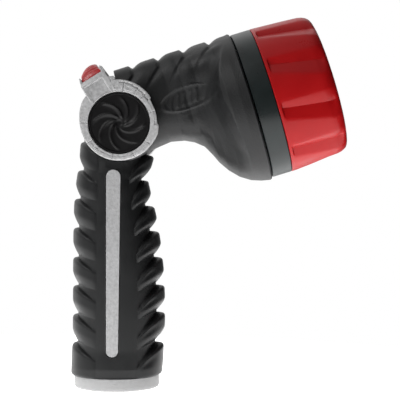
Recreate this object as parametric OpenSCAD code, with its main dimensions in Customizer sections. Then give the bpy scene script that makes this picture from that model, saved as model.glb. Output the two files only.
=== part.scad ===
// Thumb-controlled pistol-grip hose nozzle with a turning pattern dial.
// The hose inlet's mouth is centred on the origin, the handle rises along +Z, and the
// spray head points along +X, tilted upwards. The object is mirrored about the plane Y = 0.

/* [Handle] */
// Height of the valve pivot above the inlet's mouth
pivot_z = 107.7; // [105:0.1:112]
// Forward offset of the valve pivot from the handle's axis
pivot_x = 2.3; // [1:0.1:3]
// Half depth of the grip across the hand
grip_depth = 16.3; // [16:0.1:17.5]
// Height of the grip's front fins above their valleys
front_fin = 4.4; // [2:0.1:4.8]
// Height of the grip's rear fins above their valleys
rear_fin = 2.3; // [1:0.1:3]
// Height of the metal collar's top edge
collar_top = 5.4; // [4:0.1:6]
// Radius of the metal collar round the inlet
collar_r = 17.4; // [17:0.1:18]

/* [Inlet] */
// Crest radius of the hose thread in the brass insert
thread_r = 12.3; // [12:0.05:12.6]
// Length of the hose thread
thread_len = 9; // [8:0.5:9]
// Outer radius of the brass insert
insert_r = 14.2; // [14:0.1:14.4]

/* [Head] */
// Upward tilt of the spray head's axis
head_tilt = 17; // [14:0.5:20]
// Outer radius of the bell where it meets the dial
bell_r = 31.4; // [31:0.1:33]
// Radius of the pattern dial's plain rear band
dial_r = 30.4; // [29.5:0.1:30.8]
// Length of the dial's plain rear band
band_len = 8.2; // [7:0.1:9]
// Distance from the bell's rim to the dial's front edge
dial_front = 33.6; // [32:0.1:35]
// Number of spray patterns and of flutes on the dial
patterns = 10; // [8:1:10]
// Angle from the top of the dial to the middle of its first flute
flute_phase = 31; // [0:1:36]
// Radius of the circle that the pattern ports lie on
port_circle = 15.5; // [15:0.1:16]

/* [Thumb lever] */
// Angle of the lever's centre line from +X at rest
lever_angle = 121.8; // [120:0.1:124]
// Outer radius of the lever's side rings
ring_r = 16; // [15.5:0.1:16.2]
// How far the rings' outer circle sits above the pivot at rest
ring_rise = 1.3; // [0:0.1:1.5]
// Radius of the hub caps inside the rings
cap_r = 12.3; // [11:0.1:12.5]
// Distance from the middle plane to the rings' outer faces
ring_face = 20.8; // [20.5:0.1:22]

/* [Hidden] */
$fn = 72;
gap = 0.1;          // free space between parts that are bonded or dropped into each other
run = 0.05;         // radial clearance of the turning fits
rim_x = 54.85;      // centre of the bell's rim
rim_z = 115.6;
side_in = 16;       // inner face of the lever's rings
web = 1.6;          // thickness of the rings' inner web
boss_r = 15;        // rubber boss round the valve
hub_r = 17.8;       // rubber hub under the neck, and the grip's saddle round it
boss_y = 15.6;
plug_r = 9;         // valve plug
plug_port_r = 4.2;  // waterway through the plug and the seat
port_r = 3.2;       // waterway through the dial
seal_r = 5.9;       // seal between the neck and the dial
seat_r = 6.4;       // valve seat
seat_drop = 13;     // from the pivot to the foot of the seat
channel_r = 5;      // waterway up the handle
tube_r = 10;        // handle tube of the casting
tube_x = -0.8;      // its axis
socket_r = 15.2;    // casting round the brass insert
housing_r = 13.2;   // casting round the valve
insert_h = 13.4;    // brass insert
inlay_back = 13.95; // inner face of the side inlays
rear_gap = 0.6;     // from the bell's rim to the dial's rear face
spindle_r = 4.5;    // dial spindle on the casting
sleeve_r = 27;      // dial sleeve under the red grip
face_r = 25.3;      // spray face
bridge_in = 19.6;   // inner radius of the lever's bridge
bridge_out = 21.1;  // top of the lever's bridge under the pad
arm_half = 5.4;     // half width of the lever's arms
pad_rear = -3.85;   // thumb pad between the lever's lips
pad_front = 4.65;
pad_half = ring_face - 1;

// ---- frames -------------------------------------------------------------

// Local Z runs forward along the head's axis from the bell's rim, local X points up.
module head_frame() {
    translate([rim_x, 0, rim_z]) rotate([0, 90 - head_tilt, 0]) rotate([0, 0, 180]) children();
}

// Local Z runs out along the lever, local X is forward, origin on the pivot.
module lever_frame() {
    translate([pivot_x, 0, pivot_z]) rotate([0, 90 - lever_angle, 0]) children();
}

// A cylinder along Y at the pivot, between two distances from the middle plane.
module pivot_disc(r, y0, y1, rise = 0) {
    translate([pivot_x, y0, pivot_z + rise]) rotate([-90, 0, 0]) cylinder(r = r, h = y1 - y0);
}

module both_sides() {
    children();
    mirror([0, 1, 0]) children();
}

// A tube between two radii, from z0 to z1.
module ring(r_out, r_in, z0, z1) {
    translate([0, 0, z0]) difference() {
        cylinder(r = r_out, h = z1 - z0);
        translate([0, 0, -1]) cylinder(r = r_in, h = z1 - z0 + 2);
    }
}

module o_ring(r_mid, r_wire) {
    rotate_extrude() translate([r_mid, 0]) circle(r = r_wire, $fn = 24);
}

// Places children at the pattern positions round the head's axis.
module each_pattern(radius) {
    for (i = [0:patterns - 1]) rotate([0, 0, i * 360 / patterns]) translate([radius, 0, 0]) children();
}

// The pivot and the port seen in the head's own frame.
pivot_s = (pivot_x - rim_x) * cos(head_tilt) + (pivot_z - rim_z) * sin(head_tilt);
pivot_up = (pivot_z - rim_z) * cos(head_tilt) - (pivot_x - rim_x) * sin(head_tilt);
port_s = -8;
neck_len = sqrt(pow(port_s - pivot_s, 2) + pow(port_circle - pivot_up, 2));
neck_angle = head_tilt + atan((port_circle - pivot_up) / (port_s - pivot_s));

// Local Z runs from the pivot towards the dial's port.
module neck_frame() {
    translate([pivot_x, 0, pivot_z]) rotate([0, 90 - neck_angle, 0]) children();
}

// ---- lofted covers -------------------------------------------------------

// Point on a squarish oval: reach f forwards, b backwards, w sideways, squareness n.
function oval(a, f, b, w, n) = [
    (cos(a) >= 0 ? f : b) * sign(cos(a)) * pow(abs(cos(a)), 2 / n),
    w * sign(sin(a)) * pow(abs(sin(a)), 2 / n)
];

// Closed solid through rings of points, each ring in the same order.
module loft(rings) {
    n = len(rings[0]);
    m = len(rings);
    walls = [for (j = [0:m - 2], i = [0:n - 1]) each [
        [j * n + i, (j + 1) * n + i, j * n + (i + 1) % n],
        [j * n + (i + 1) % n, (j + 1) * n + i, (j + 1) * n + (i + 1) % n]
    ]];
    bottom = [[for (i = [0:n - 1]) i]];
    top = [[for (i = [n - 1:-1:0]) (m - 1) * n + i]];
    polyhedron(points = [for (r = rings) each r], faces = concat(bottom, walls, top), convexity = 8);
}

// Fin outline from its shelf (0) down to the next shelf (1). The lowest fin runs on to the collar.
function fin(u, lowest = false) =
    u < 0.1 ? u / 0.1 : u < 0.4 ? 1 : lowest ? (u < 0.93 ? 1 : 0.6) : max(0, (0.96 - u) / 0.56);

// Shelf heights of the fins at the front and at the rear, ending at the collar.
grip_bottom = collar_top + 0.1;
front_shelf = [95.9, 85.3, 74.6, 64, 53.4, 42, 30.8, 18.5, grip_bottom];
rear_shelf = [100.9, 89.2, 77.6, 65.7, 53.5, 41.9, 30.1, 18.5, grip_bottom];
last_fin = len(front_shelf) - 2;
grip_height = 104;
fin_droop = 3;      // how far the shelves sag at the sides

front_valley = [[grip_bottom, 14.9], [17.8, 14.9], [29.2, 15.6], [40.3, 15.4], [51.9, 14.8], [63, 13.4],
    [74.3, 11.8], [85.5, 10], [95, 11.5], [grip_height, 12]];
rear_valley = [[grip_bottom, 16.3], [31.4, 16.1], [55.3, 15.8], [67.3, 15.4], [79.3, 14.4], [91.7, 13.1],
    [grip_height, 13.4]];
depth_at = [[grip_bottom, 16.6], [9, 17], [16, grip_depth], [88, grip_depth], [93, 15.5], [grip_height, 15]];

// Section i, u of the grip; its height varies round the section with the shelves.
function grip_ring(i, u, points = 32) = [for (k = [0:points - 1])
    let (
        a = k * 360 / points,
        front = front_shelf[i] + (front_shelf[i + 1] - front_shelf[i]) * u,
        rear = rear_shelf[i] + (rear_shelf[i + 1] - rear_shelf[i]) * u,
        sag = fin_droop * pow(sin(a), 2) * (i == last_fin ? 1 - u : 1),
        z = rear + (front - rear) * (1 + cos(a)) / 2 - sag,
        h = fin(u, i == last_fin),
        p = oval(a, lookup(z, front_valley) + front_fin * h, lookup(z, rear_valley) + rear_fin * h,
            lookup(z, depth_at), 2.3)
    )
    [p[0], p[1], z]];
function grip_cap(points = 32) = [for (k = [0:points - 1])
    let (p = oval(k * 360 / points, 12, 13.4, 15, 2.3)) [p[0], p[1], grip_height]];
grip_rings = concat(
    [for (i = [last_fin:-1:0], u = i == last_fin ? [1, 0.92, 0.4, 0.1, 0] : [0.96, 0.7, 0.4, 0.1, 0])
        grip_ring(i, u)],
    [grip_cap()]
);

// Sections of the neck and bell against distance along the head's axis.
neck_top = [[-49.2, 30.4], [-2, 31], [0, bell_r - 0.4]];
neck_bottom = [[-49.2, 5.4], [-42.9, 5], [-40, 4.6], [-35.3, 4.1], [-29.8, 5.3], [-26, 7.2], [-22.5, 10.2],
    [-20.3, 14.4], [-18.6, 18.3], [-15.9, 22.5], [-12.3, 26.4], [-8.2, 29.1], [-4.2, 30.5], [-0.5, 31.2],
    [0, bell_r - 0.4]];
neck_half = [[-49.2, 14.6], [-30, 15.2], [-24, 16.8], [-18, 20.5], [-13, 25.5], [-8.5, 29.6], [-4, 30.9],
    [-0.5, bell_r], [0, bell_r - 0.4]];
neck_square = [[-49.2, 3.2], [-26, 3], [-16, 2.3], [-8.2, 2], [0, 2]];
neck_levels = [-49.2, -42.9, -35.3, -29.8, -26, -22.5, -20.3, -18.6, -15.9, -12.3, -8.2, -4.2, -0.5, 0];

// One neck section; its middle height is half way between top and bottom reach.
function neck_ring(s, points = 36) =
    let (top = lookup(s, neck_top), bottom = lookup(s, neck_bottom), mid = (top - bottom) / 2)
    [for (i = [0:points - 1])
        let (p = oval(i * 360 / points, top - mid, bottom + mid, lookup(s, neck_half), lookup(s, neck_square)))
        [p[0] + mid, p[1], s]];

// ---- metal body ----------------------------------------------------------

// Outside of the casting inside the covers, grown by g.
module casting_core(g = 0) {
    translate([0, 0, collar_top - 1]) cylinder(r = socket_r + g, h = insert_h - collar_top + 1.8);
    translate([tube_x, 0, insert_h + 0.8]) cylinder(r1 = 13.8 + g, r2 = tube_r + g, h = 6);
    translate([tube_x, 0, insert_h]) cylinder(r = tube_r + g, h = pivot_z + 1 - insert_h);
    pivot_disc(housing_r + g, -boss_y + 0.2 - g, boss_y - 0.2 + g);
    neck_frame() translate([0, 0, 3]) cylinder(r = 9 + g, h = neck_len - 1);
    head_frame() translate([0, 0, -10 - g]) cylinder(r = 9 + g, h = 5);
    head_frame() translate([0, 0, -7 - g]) cylinder(r = 28.4 + g, h = 5 + g);
}

module body_casting() {
    color("silver") difference() {
        union() {
            casting_core();
            translate([0, 0, 1.9]) cylinder(r = collar_r, h = collar_top - 1.9);
            translate([0, 0, 1]) cylinder(r1 = collar_r - 0.9, r2 = collar_r, h = 0.9);
            head_frame() translate([0, 0, -3]) cylinder(r = spindle_r, h = 11);
        }
        translate([0, 0, -1]) cylinder(r = insert_r + run, h = insert_h + 1 + gap);
        translate([pivot_x, 0, insert_h]) cylinder(r = channel_r, h = pivot_z - 5 - insert_h);
        pivot_disc(plug_r + run, -20, 20);
        neck_frame() translate([0, 0, 5]) cylinder(r = plug_port_r, h = neck_len - 4);
        translate([pivot_x, 0, pivot_z - seat_drop]) cylinder(r = seat_r + run, h = seat_drop - 2);
        head_frame() translate([port_circle, 0, port_s]) cylinder(r = port_r, h = 20);
        head_frame() translate([port_circle, 0, port_s + 1.2]) cylinder(r = seal_r + 0.1, h = 20);
        head_frame() translate([-23, 0, -6.2]) cylinder(r = 2.5, h = 20);
        head_frame() translate([0, 0, -9]) cylinder(r = 2.5, h = 30);
    }
}

module inlet_insert() {
    color("goldenrod") difference() {
        cylinder(r = insert_r, h = insert_h);
        translate([0, 0, -1]) cylinder(r = thread_r, h = thread_len + 1.01);
        translate([0, 0, thread_len]) cylinder(r = 12.9, h = 3.6);
        translate([0, 0, thread_len + 3.5]) cylinder(r = 8.5, h = 2);
    }
}

module hose_washer() {
    color("black") ring(12.8, 8.5, thread_len + 0.05, thread_len + 2.85);
}

module inlet_screen() {
    color("silver") translate([0, 0, thread_len + 2.95]) difference() {
        cylinder(r = 12.6, h = 0.6);
        for (i = [-3:3], j = [-3:3])
            if (norm([i, j]) < 3.7)
                translate([2.3 * i, 2.3 * j, -1]) cylinder(r = 0.8, h = 3, $fn = 16);
    }
}

// ---- rubber covers and trim ----------------------------------------------

// Straight-sided slot with round ends, wider at the top, seen from the side.
module inlay_outline(grow = 0) {
    hull() {
        translate([-0.3, 86.4]) circle(r = 2.85 + grow, $fn = 32);
        translate([-0.8, 16.6]) circle(r = 2.4 + grow, $fn = 32);
    }
}

module inlay(grow, y0, y1) {
    translate([0, y1, 0]) rotate([90, 0, 0]) linear_extrude(y1 - y0) inlay_outline(grow);
}

// Keeps what lies below the pivot and in front of the hub's rear step.
module lower_front() {
    intersection() {
        children();
        translate([pivot_x - 12, -50, pivot_z - 30]) cube([60, 100, 30]);
    }
}

module grip_cover() {
    color("#2b2c2d") difference() {
        loft(grip_rings);
        casting_core(gap);
        pivot_disc(boss_r + gap, -40, 40);
        lower_front() pivot_disc(hub_r + gap, -40, 40);
        both_sides() pivot_disc(hub_r + 0.6, boss_y, 40);
        inlay(gap, -20, gap - inlay_back);
        inlay(gap, inlay_back - gap, 20);
    }
}

module grip_inlay_right() {
    color("silver") inlay(0, -grip_depth + 0.1, -inlay_back);
}

module grip_inlay_left() {
    color("silver") inlay(0, inlay_back, grip_depth - 0.1);
}

module neck_cover() {
    color("#2b2c2d") difference() {
        union() {
            head_frame() loft([for (s = neck_levels) neck_ring(s)]);
            pivot_disc(boss_r, -boss_y, boss_y);
            lower_front() pivot_disc(hub_r, -boss_y + 0.6, boss_y - 0.6);
        }
        casting_core(gap);
        head_frame() translate([0, 0, -2.1]) cylinder(r = 28.5, h = 4);
        pivot_disc(11, -20, 20);
    }
}

// ---- valve ----------------------------------------------------------------

module valve_plug() {
    color("goldenrod") difference() {
        union() {
            pivot_disc(plug_r, -boss_y, boss_y);
            lever_frame() translate([-4.3, -side_in - web, -4.3]) cube([8.6, 2 * (side_in + web), 8.6]);
        }
        translate([pivot_x, 0, pivot_z]) sphere(r = plug_port_r + 0.6);
        translate([pivot_x, 0, pivot_z - 20]) cylinder(r = plug_port_r, h = 18);
        neck_frame() translate([0, 0, 2]) cylinder(r = plug_port_r, h = 20);
        both_sides() {
            translate([pivot_x, 12.5, pivot_z]) rotate([90, 0, 0]) difference() {
                translate([0, 0, -1.1]) cylinder(r = plug_r + 1, h = 2.2);
                translate([0, 0, -2]) cylinder(r = plug_r - 1.8, h = 4);
            }
            pivot_disc(1.7, 8, 20);
        }
    }
}

module plug_o_rings() {
    color("black") both_sides() translate([pivot_x, 12.5, pivot_z]) rotate([90, 0, 0]) o_ring(plug_r - 0.85, 0.85);
}

// Cupped seat pressed up against the plug by the water.
module valve_seat() {
    color("black") difference() {
        translate([pivot_x, 0, pivot_z - seat_drop + gap]) ring(seat_r, plug_port_r, 0, 7);
        pivot_disc(plug_r + 0.08, -20, 20);
    }
}

// ---- thumb lever ------------------------------------------------------------

// Extrudes an outline of [forward, outward] points across the lever, from y0 to y1.
module lever_plate(outline, y0, y1) {
    lever_frame() translate([0, y1, 0]) rotate([90, 0, 0]) linear_extrude(y1 - y0) polygon(outline);
}

module lever_side() {
    difference() {
        union() {
            pivot_disc(ring_r, side_in, ring_face, ring_rise);
            lever_plate([[-arm_half, 8], [-arm_half, 19.9], [-4.9, bridge_out], [5, bridge_out],
                [arm_half, 19.9], [arm_half, 8]], side_in, ring_face);
        }
        pivot_disc(cap_r + 0.1, side_in + web, ring_face + 1);
        lever_frame() translate([-4.4, side_in - 1, -4.4]) cube([8.8, web + 2, 8.8]);
        lever_plate([[-4.1, 13.4], [-4.1, 18.7], [4.2, 18.7], [4.2, 13.4]], ring_face - 0.4, ring_face + 1);
    }
}

module thumb_lever() {
    color("silver") {
        both_sides() lever_side();
        lever_plate([[-arm_half, bridge_in], [-4.9, bridge_out], [5, bridge_out], [arm_half, bridge_in]],
            -side_in - 1, side_in + 1);
        lever_plate([[-5.1, 20.4], [-4.3, 23.2], [-3.9, 23.2], [-3.9, 20.4]], 0.6 - ring_face, ring_face - 0.6);
        lever_plate([[5.2, 20.2], [6.1, 23.5], [5.5, 23.5], [4.8, 20.2]], 0.6 - ring_face, ring_face - 0.6);
        lever_plate([[5, bridge_in], [5, 20.8], [7.8, 20.2], [7.8, 19.2]], -side_in - 1, side_in + 1);
    }
}

// Section of the thumb pad at distance y from the middle: a flat foot under a domed top.
function pad_ring(y, points = 14) =
    let (rise = 1.4 + 5.5 * pow(max(0, 1 - pow(y / pad_half, 2)), 0.75), foot = bridge_out + 0.02)
    concat(
        [[pad_rear, y, foot]],
        [for (i = [0:points])
            let (x = pad_rear + (pad_front - pad_rear) * i / points, bulge = 1 - pow((x - 1.3) / 8, 2))
            [x, y, foot + rise * (i == 0 || i == points ? 0.7 : 1) * bulge]],
        [[pad_front, y, foot]]
    );

module thumb_pad() {
    color("crimson") lever_frame() loft([for (k = [-12:12]) pad_ring(pad_half * sin(90 * k / 12))]);
}

module hub_cap() {
    difference() {
        union() {
            pivot_disc(cap_r, side_in + web + gap, ring_face - 0.9);
            difference() {
                pivot_disc(cap_r, ring_face - 1, ring_face - 0.4);
                pivot_disc(cap_r - 0.9, ring_face - 2, ring_face);
            }
            pivot_disc(2.2, ring_face - 1, ring_face - 0.5);
        }
        pivot_disc(5.6, side_in, ring_face - 1.4);
    }
}

module hub_cap_left() {
    color("#1d1d1e") hub_cap();
}

module hub_cap_right() {
    color("#1d1d1e") mirror([0, 1, 0]) hub_cap();
}

module hub_screws() {
    color("silver") both_sides() {
        pivot_disc(1.65, 10, side_in + web + 0.6);
        difference() {
            pivot_disc(3.6, side_in + web + 0.55, side_in + web + 1.7);
            translate([pivot_x, 20.4, pivot_z]) rotate([90, 0, 0]) cylinder(r = 1.4, h = 1.8, $fn = 6);
        }
    }
}

module hub_washers() {
    color("silver") both_sides() difference() {
        pivot_disc(5.3, side_in + web + 0.02, side_in + web + 0.52);
        pivot_disc(1.8, side_in, side_in + 4);
    }
}

// ---- dial seals and stop ------------------------------------------------------

// Round wire wound into a helix, as one solid.
module coil(r_mid, r_wire, length, turns, steps = 20, sides = 6) {
    count = turns * steps;
    loft([for (j = [0:count])
        let (a = 360 * j / steps, h = r_wire + (length - 2 * r_wire) * j / count)
        [for (i = [0:sides - 1])
            let (b = -360 * i / sides, r = r_mid + r_wire * cos(b))
            [r * cos(a), r * sin(a), h + r_wire * sin(b)]]]);
}

module port_seal() {
    color("black") head_frame() translate([port_circle, 0, 0]) ring(seal_r, port_r, -3.6, rear_gap - 0.1);
}

module port_spring() {
    color("silver") head_frame() translate([port_circle, 0, -6.7]) coil(5, 0.4, 3, 3);
}

module detent_spring() {
    color("silver") head_frame() translate([-23, 0, -6.1]) coil(1.8, 0.3, 3, 4, 14);
}

module detent_ball() {
    color("silver") head_frame() translate([-23, 0, -0.6]) sphere(r = 2.4);
}

// ---- pattern dial ----------------------------------------------------------------

module dial_base() {
    color("#2a2e2e") head_frame() difference() {
        union() {
            translate([0, 0, rear_gap]) cylinder(r = dial_r, h = band_len);
            translate([0, 0, rear_gap + 1]) cylinder(r = sleeve_r, h = 28.5);
        }
        translate([0, 0, rear_gap + 3]) difference() {
            cylinder(r = 24.8, h = 40);
            translate([0, 0, -1]) cylinder(r = 9, h = 5.2);
        }
        translate([0, 0, -1]) cylinder(r = spindle_r + run, h = 20);
        translate([0, 0, -1]) each_pattern(port_circle) cylinder(r = port_r, h = 8);
        translate([0, 0, -0.6]) rotate_extrude() translate([23, 0]) circle(r = 2.6, $fn = 40);
    }
}

// Shallow flute that widens towards the front, as a wedge tipped outwards.
module dial_flute() {
    translate([29.35, 0, rear_gap + band_len + 1.5]) rotate([0, -3.2, 0])
        linear_extrude(19.5) polygon([[0, -2.6], [0, 2.6], [6, 5.5], [6, -5.5]]);
}

module dial_grip() {
    color("crimson") head_frame() difference() {
        rotate_extrude() polygon([
            [sleeve_r + gap, rear_gap + band_len + 0.05], [dial_r + 0.1, rear_gap + band_len + 0.05],
            [dial_r - 1.1, dial_front - 4.4], [dial_r - 3, dial_front - 0.6], [dial_r - 3.8, dial_front],
            [face_r + 0.3, dial_front], [face_r + 0.3, 30.2], [sleeve_r + gap, 30.2]
        ]);
        for (i = [0:patterns - 1]) rotate([0, 0, flute_phase + i * 360 / patterns]) dial_flute();
    }
}

module chamber_block() {
    color("whitesmoke") head_frame() difference() {
        translate([0, 0, rear_gap + 3.1]) cylinder(r = 24.6, h = 20);
        translate([0, 0, rear_gap + 3]) cylinder(r = 9.8, h = 30);
        each_pattern(port_circle) cylinder(r = port_r, h = 40);
    }
}

module shower_disc() {
    color("silver") head_frame() difference() {
        translate([0, 0, rear_gap + 23.3]) cylinder(r = 24.4, h = 0.6);
        each_pattern(port_circle) {
            cylinder(r = 0.6, h = 40, $fn = 16);
            for (a = [0:60:300]) rotate([0, 0, a]) translate([2, 0, 0]) cylinder(r = 0.6, h = 40, $fn = 16);
        }
    }
}

// Outlets round the spray face: jet, flat, cone, shower, mist, soaker, upright, angled, full, rinse.
module outlet(i) {
    if (i == 0) cylinder(r = 2.2, h = 10);
    if (i == 1 || i == 6 || i == 7)
        rotate([0, 0, i == 1 ? 90 : i == 6 ? 0 : 45]) translate([-3.4, -0.6, 0]) cube([6.8, 1.2, 10]);
    if (i == 2) difference() {
        cylinder(r = 3.2, h = 10);
        cylinder(r = 2.2, h = 10);
        translate([-4, -0.5, 0]) cube([8, 1, 6.4]);
    }
    if (i == 3 || i == 8) {
        cylinder(r = 0.6, h = 10, $fn = 16);
        for (a = [0:60:300]) rotate([0, 0, a]) translate([1.7, 0, 0]) cylinder(r = 0.6, h = 10, $fn = 16);
    }
    if (i == 4) for (a = [0:120:240]) rotate([0, 0, a]) translate([1.6, 0, 0]) cylinder(r = 0.5, h = 10, $fn = 16);
    if (i == 5 || i == 9) for (a = [0:90:270]) rotate([0, 0, a + 45]) translate([2, 0, 0]) cylinder(r = 1.2, h = 10, $fn = 24);
}

module spray_face() {
    color("#2a2e2e") head_frame() difference() {
        translate([0, 0, 26.6]) cylinder(r = face_r - 0.6, h = 5.8);
        translate([0, 0, 26.5]) cylinder(r = 22.5, h = 2.4);
        translate([0, 0, 20]) cylinder(r = 4.05, h = 20);
        translate([0, 0, 31.4]) each_pattern(port_circle) cylinder(r = 4.3, h = 3);
        for (i = [0:patterns - 1])
            rotate([0, 0, i * 360 / patterns]) translate([port_circle, 0, 25]) outlet(i);
    }
}

module face_o_ring() {
    color("black") head_frame() translate([0, 0, 25.55]) o_ring(23.4, 0.95);
}

module face_plug() {
    color("#2a2e2e") head_frame() {
        translate([0, 0, 29]) cylinder(r = 4, h = 3.4);
        translate([0, 0, 32.4]) cylinder(r1 = 5, r2 = 4.2, h = 0.7);
    }
}

module dial_washer() {
    color("silver") head_frame() ring(7, 2.7, 8.1, 8.9);
}

module dial_screw() {
    color("silver") head_frame() difference() {
        union() {
            translate([0, 0, -6]) cylinder(r = 2.45, h = 15);
            translate([0, 0, 8.95]) cylinder(r = 4.4, h = 2.6);
        }
        translate([0, 0, 10]) cylinder(r = 1.8, h = 4, $fn = 6);
    }
}

body_casting();
grip_cover();
neck_cover();
grip_inlay_left();
grip_inlay_right();
inlet_insert();
hose_washer();
inlet_screen();
valve_plug();
valve_seat();
plug_o_rings();
thumb_lever();
thumb_pad();
hub_cap_left();
hub_cap_right();
hub_screws();
hub_washers();
port_seal();
port_spring();
detent_ball();
detent_spring();
dial_base();
dial_grip();
chamber_block();
shower_disc();
spray_face();
face_o_ring();
dial_screw();
dial_washer();
face_plug();
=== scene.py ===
"""Thumb-controlled pistol-grip hose nozzle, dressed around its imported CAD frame."""
import math

import bmesh
import bpy
import numpy as np
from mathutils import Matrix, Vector


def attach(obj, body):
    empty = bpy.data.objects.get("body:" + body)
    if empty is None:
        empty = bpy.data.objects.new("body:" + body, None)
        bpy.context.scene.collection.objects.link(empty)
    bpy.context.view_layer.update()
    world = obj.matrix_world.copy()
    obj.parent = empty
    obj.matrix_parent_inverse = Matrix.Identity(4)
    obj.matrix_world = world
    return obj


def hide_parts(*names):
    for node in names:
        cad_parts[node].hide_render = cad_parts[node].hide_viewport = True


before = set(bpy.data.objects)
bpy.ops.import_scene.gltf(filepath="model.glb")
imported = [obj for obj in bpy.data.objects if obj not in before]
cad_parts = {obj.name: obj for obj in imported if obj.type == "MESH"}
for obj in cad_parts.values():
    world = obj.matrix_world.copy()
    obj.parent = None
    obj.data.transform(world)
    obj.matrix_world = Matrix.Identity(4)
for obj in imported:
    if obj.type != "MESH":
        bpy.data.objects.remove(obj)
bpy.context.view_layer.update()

MM = 0.001

# ---- the object's own frames, in millimetres ------------------------------------

TILT = math.radians(17)
RIM = np.array([54.85, 0, 115.6])                              # centre of the bell's rim
AXIS = np.array([math.cos(TILT), 0, math.sin(TILT)])           # along the spray head
UP = np.array([-math.sin(TILT), 0, math.cos(TILT)])            # up across the spray head
SIDE = np.array([0.0, 1.0, 0.0])
PIVOT = np.array([2.3, 0, 107.7])                              # valve and lever axis
LEAN = math.radians(121.8)                                     # the lever's centre line at rest
OUT = np.array([math.cos(LEAN), 0, math.sin(LEAN)])
FORE = np.array([math.sin(LEAN), 0, -math.cos(LEAN)])


def head(s, up, y):
    """Point in the head's frame: s along the axis from the rim, up across it, y sideways."""
    s, up, y = np.broadcast_arrays(s, up, y)
    return RIM + s[..., None] * AXIS + up[..., None] * UP + y[..., None] * SIDE


def lever(fore, out, y):
    """Point in the lever's frame: fore and out from the pivot, y sideways."""
    fore, out, y = np.broadcast_arrays(fore, out, y)
    return PIVOT + fore[..., None] * FORE + out[..., None] * OUT + y[..., None] * SIDE


def pivot(x, z, y):
    """Point in the pivot's frame: x and z from the pivot in the side view, y sideways."""
    x, z, y = np.broadcast_arrays(x, z, y)
    return PIVOT + np.stack([x, np.zeros_like(x), z], -1) + y[..., None] * SIDE


def upright(x, z, y):
    """Point at x, z in the side view, y sideways."""
    return pivot(x - PIVOT[0], z - PIVOT[2], y)


def across(up, y, s):
    """Point at up, y on the plane across the head's axis at s."""
    return head(s, up, y)


# ---- small tools ------------------------------------------------------------------

def curve(table, x):
    """Straight-line lookup in a table of (x, value) pairs with rising x."""
    xs, ys = zip(*table)
    return np.interp(x, xs, ys)


def ease(x):
    """Smooth step from 0 to 1."""
    x = np.clip(x, 0, 1)
    return x * x * (3 - 2 * x)


def bump(x, middle, width):
    """Bell curve of height 1."""
    return np.exp(-((x - middle) / width) ** 2)


def power(v, e):
    """Power that keeps the sign, for rounded-square sections."""
    return np.sign(v) * np.abs(v) ** e


def new_object(name, points, faces):
    """Object from points in millimetres, with its faces turned outwards."""
    mesh = bpy.data.meshes.new(name)
    mesh.from_pydata((points * MM).tolist(), [], faces)
    mesh.validate()
    obj = bpy.data.objects.new(name, mesh)
    bpy.context.scene.collection.objects.link(obj)
    bm = bmesh.new()
    bm.from_mesh(mesh)
    bmesh.ops.recalc_face_normals(bm, faces=bm.faces)
    bm.to_mesh(mesh)
    bm.free()
    return obj


def grid(name, rows, wrap=False):
    """Closed solid through rows of rings. Rings close on themselves; the row ends get caps,
    or with wrap the last row joins the first."""
    rows = np.asarray(rows, float)
    m, n = rows.shape[:2]
    at = np.arange(m * n).reshape(m, n)
    low, high = (at, np.roll(at, -1, 0)) if wrap else (at[:-1], at[1:])
    low_next, high_next = np.roll(low, -1, 1), np.roll(high, -1, 1)
    faces = np.stack([low, low_next, high_next, high], -1).reshape(-1, 4).tolist()
    if not wrap:
        faces += [at[0][::-1].tolist(), at[-1].tolist()]
    return new_object(name, rows.reshape(-1, 3), faces)


def prism(name, outline, place, y0, y1):
    """Outline of (a, b) pairs pushed from y0 to y1, put in place by one of the frames."""
    a, b = np.array(outline, float).T
    return grid(name, [place(a, b, y0), place(a, b, y1)])


def around(radius, count=96):
    """Outline of a circle round the origin."""
    angles = np.radians(np.linspace(0, 360, count, endpoint=False))
    return np.stack([radius * np.cos(angles), radius * np.sin(angles)], 1)


def slot_outline(top, low, top_radius, low_radius):
    """Outline of a round-ended slot between two points."""
    turns = np.radians(np.linspace(0, 180, 24))
    return [(top[0] + top_radius * math.cos(u), top[1] + top_radius * math.sin(u)) for u in turns] + [
        (low[0] - low_radius * math.cos(u), low[1] - low_radius * math.sin(u)) for u in turns]


def mirrored(obj, name):
    """Copy of an object on the other side of the middle plane."""
    mesh = obj.data.copy()
    bm = bmesh.new()
    bm.from_mesh(mesh)
    for v in bm.verts:
        v.co.y = -v.co.y
    bmesh.ops.reverse_faces(bm, faces=bm.faces)
    bm.to_mesh(mesh)
    bm.free()
    twin = bpy.data.objects.new(name, mesh)
    bpy.context.scene.collection.objects.link(twin)
    return twin


def settle(obj):
    """Applies an object's modifiers."""
    graph = bpy.context.evaluated_depsgraph_get()
    mesh = bpy.data.meshes.new_from_object(obj.evaluated_get(graph))
    obj.modifiers.clear()
    obj.data = mesh
    return obj


def combine(obj, others, operation):
    """Exact boolean of an object with each of the others, which are used up."""
    for other in others:
        mod = obj.modifiers.new("bool", "BOOLEAN")
        mod.operation = operation
        mod.solver = "EXACT"
        mod.object = other
        settle(obj)
        bpy.data.objects.remove(other)
    return obj


def cut(obj, *others):
    """Takes the others out of an object."""
    return combine(obj, others, "DIFFERENCE")


def join(obj, *others):
    """Joins the others to an object."""
    return combine(obj, others, "UNION")


def rounded(obj, width):
    """Rounds the sharp edges of an object, width in millimetres."""
    mod = obj.modifiers.new("bevel", "BEVEL")
    mod.width = width * MM
    mod.segments = 2
    mod.limit_method = "ANGLE"
    mod.angle_limit = math.radians(30)
    mod.use_clamp_overlap = True
    return settle(obj)


def smooth(obj, angle):
    """Shades an object smooth, apart from edges sharper than the angle in degrees."""
    obj.data.shade_smooth()
    obj.data.set_sharp_from_angle(angle=math.radians(angle))
    return obj


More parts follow.
